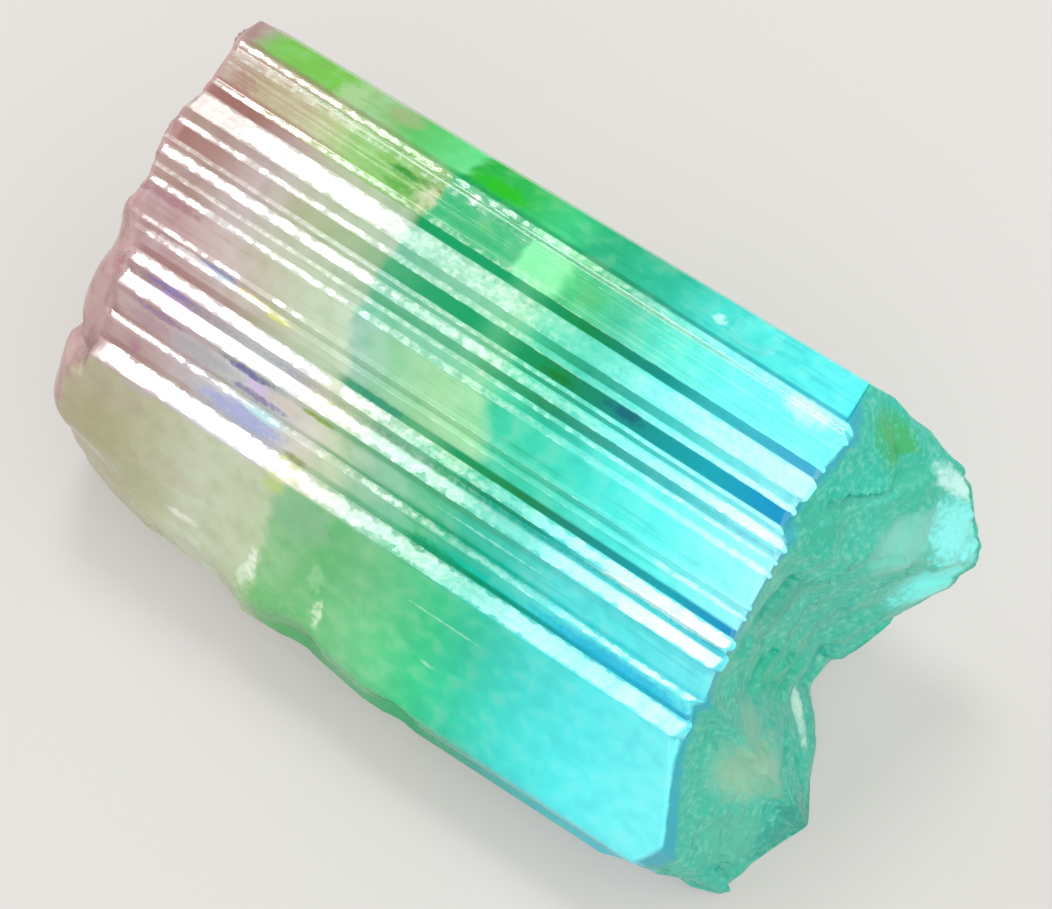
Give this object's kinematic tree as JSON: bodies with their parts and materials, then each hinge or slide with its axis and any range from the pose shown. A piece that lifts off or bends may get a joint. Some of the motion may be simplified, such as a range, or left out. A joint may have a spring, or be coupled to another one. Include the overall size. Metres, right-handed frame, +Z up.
{
  "type": "tourmaline crystal",
  "caption": "Single clear prismatic gem crystal lying on a flat side face: striated along its length, worn smooth at one end and broken at the other.",
  "frame": {"origin": "middle of the box's underside, on the plane of the flat prism face that the crystal rests on", "axes": "+X along the prism from the worn end to the broken end, +Z up from the resting face, -Y towards the broad smooth face"},
  "size_m": [0.0252, 0.0134, 0.0129],
  "materials": {
    "tourmaline": "clear and vitreous, colour-zoned from greyish pink through green to blue"
  },
  "bodies": {
    "root": {"tourmaline_crystal": "tourmaline"}
  },
  "joints": []
}
